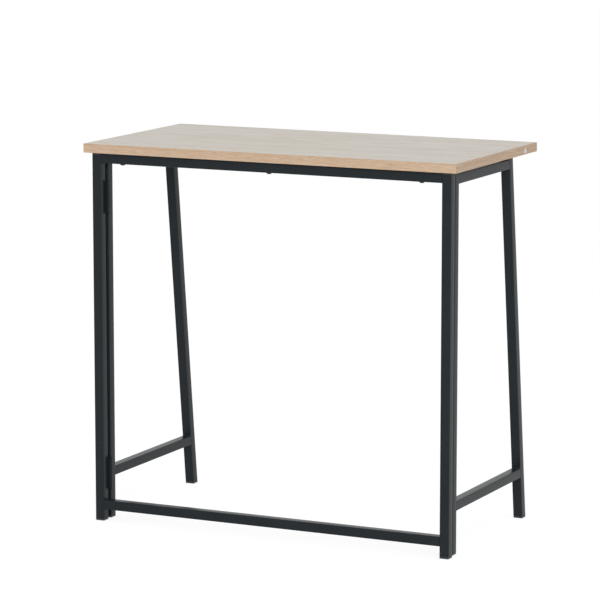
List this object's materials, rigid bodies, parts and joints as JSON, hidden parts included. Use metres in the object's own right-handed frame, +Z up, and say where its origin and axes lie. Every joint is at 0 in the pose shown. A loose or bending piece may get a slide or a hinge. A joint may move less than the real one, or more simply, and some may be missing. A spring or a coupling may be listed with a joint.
{
  "type": "folding desk",
  "caption": "Slim desk with an oak-effect top hinged on a square-tube frame; hinged side frames with slanted back legs swing in flat behind the main frame.",
  "frame": {"origin": "on the floor, at the middle of the desk's outer box in X and Y", "axes": "+X along the main frame to the right, +Y from the main frame towards the slanted legs, +Z up"},
  "size_m": [0.8, 0.413, 0.763],
  "materials": {
    "frame_powder_coat": "fine matt charcoal powder coat on steel tube and hinge leaves",
    "plug_plastic": "moulded black polyethylene",
    "oak_melamine": "pale oak-effect melamine on particle board",
    "oak_edge_band": "oak-effect edge band",
    "pin_black_steel": "blackened steel pins and bolts",
    "zinc_screw": "bright zinc plate",
    "white_plastic": "moulded white plastic"
  },
  "bodies": {
    "main_frame": {"main_post_left": "frame_powder_coat", "main_foot_left": "plug_plastic", "main_post_cap_left": "plug_plastic", "main_post_right": "frame_powder_coat", "main_foot_right": "plug_plastic", "main_post_cap_right": "plug_plastic", "main_top_rail": "frame_powder_coat", "main_bottom_rail": "frame_powder_coat", "left_lower_hinge_frame_leaf": "frame_powder_coat", "left_lower_hinge_pin": "pin_black_steel", "left_upper_hinge_frame_leaf": "frame_powder_coat", "left_upper_hinge_pin": "pin_black_steel", "right_lower_hinge_frame_leaf": "frame_powder_coat", "right_lower_hinge_pin": "pin_black_steel", "right_upper_hinge_frame_leaf": "frame_powder_coat", "right_upper_hinge_pin": "pin_black_steel", "top_left_hinge_rail_leaf": "frame_powder_coat", "top_left_hinge_pin": "pin_black_steel", "top_left_hinge_bolt": "pin_black_steel", "top_middle_hinge_rail_leaf": "frame_powder_coat", "top_middle_hinge_pin": "pin_black_steel", "top_middle_hinge_bolt": "pin_black_steel", "top_right_hinge_rail_leaf": "frame_powder_coat", "top_right_hinge_pin": "pin_black_steel", "top_right_hinge_bolt": "pin_black_steel"},
    "left_side_frame": {"left_side_post": "frame_powder_coat", "left_side_top_rail": "frame_powder_coat", "left_side_lower_rail": "frame_powder_coat", "left_slanted_leg": "frame_powder_coat", "left_side_post_foot": "plug_plastic", "left_side_post_cap": "plug_plastic", "left_leg_foot": "plug_plastic", "left_leg_cap": "plug_plastic", "left_lower_hinge_side_leaf": "frame_powder_coat", "left_upper_hinge_side_leaf": "frame_powder_coat"},
    "right_side_frame": {"right_side_post": "frame_powder_coat", "right_side_top_rail": "frame_powder_coat", "right_side_lower_rail": "frame_powder_coat", "right_slanted_leg": "frame_powder_coat", "right_side_post_foot": "plug_plastic", "right_side_post_cap": "plug_plastic", "right_leg_foot": "plug_plastic", "right_leg_cap": "plug_plastic", "right_lower_hinge_side_leaf": "frame_powder_coat", "right_upper_hinge_side_leaf": "frame_powder_coat"},
    "tabletop": {"top_left_hinge_board_leaf": "frame_powder_coat", "top_left_hinge_screw_1": "zinc_screw", "top_left_hinge_screw_2": "zinc_screw", "top_middle_hinge_board_leaf": "frame_powder_coat", "top_middle_hinge_screw_1": "zinc_screw", "top_middle_hinge_screw_2": "zinc_screw", "top_right_hinge_board_leaf": "frame_powder_coat", "top_right_hinge_screw_1": "zinc_screw", "top_right_hinge_screw_2": "zinc_screw", "worktop_board": "oak_melamine", "worktop_band_front": "oak_edge_band", "worktop_band_back": "oak_edge_band", "worktop_band_left": "oak_edge_band", "worktop_band_right": "oak_edge_band", "worktop_edge_cap": "white_plastic"}
  },
  "joints": [
    {"name": "left_side_fold", "type": "hinge", "parent": "main_frame", "child": "left_side_frame", "pos_m": [-0.3625, -0.17432, 0.4], "axis": [0, 0, -1], "range_deg": [0, 90]},
    {"name": "right_side_fold", "type": "hinge", "parent": "main_frame", "child": "right_side_frame", "pos_m": [0.3625, -0.17432, 0.4], "axis": [0, 0, 1], "range_deg": [0, 86]},
    {"name": "top_lift", "type": "hinge", "parent": "main_frame", "child": "tabletop", "pos_m": [0, -0.19902, 0.74485], "axis": [1, 0, 0], "range_deg": [0, 95]}
  ]
}
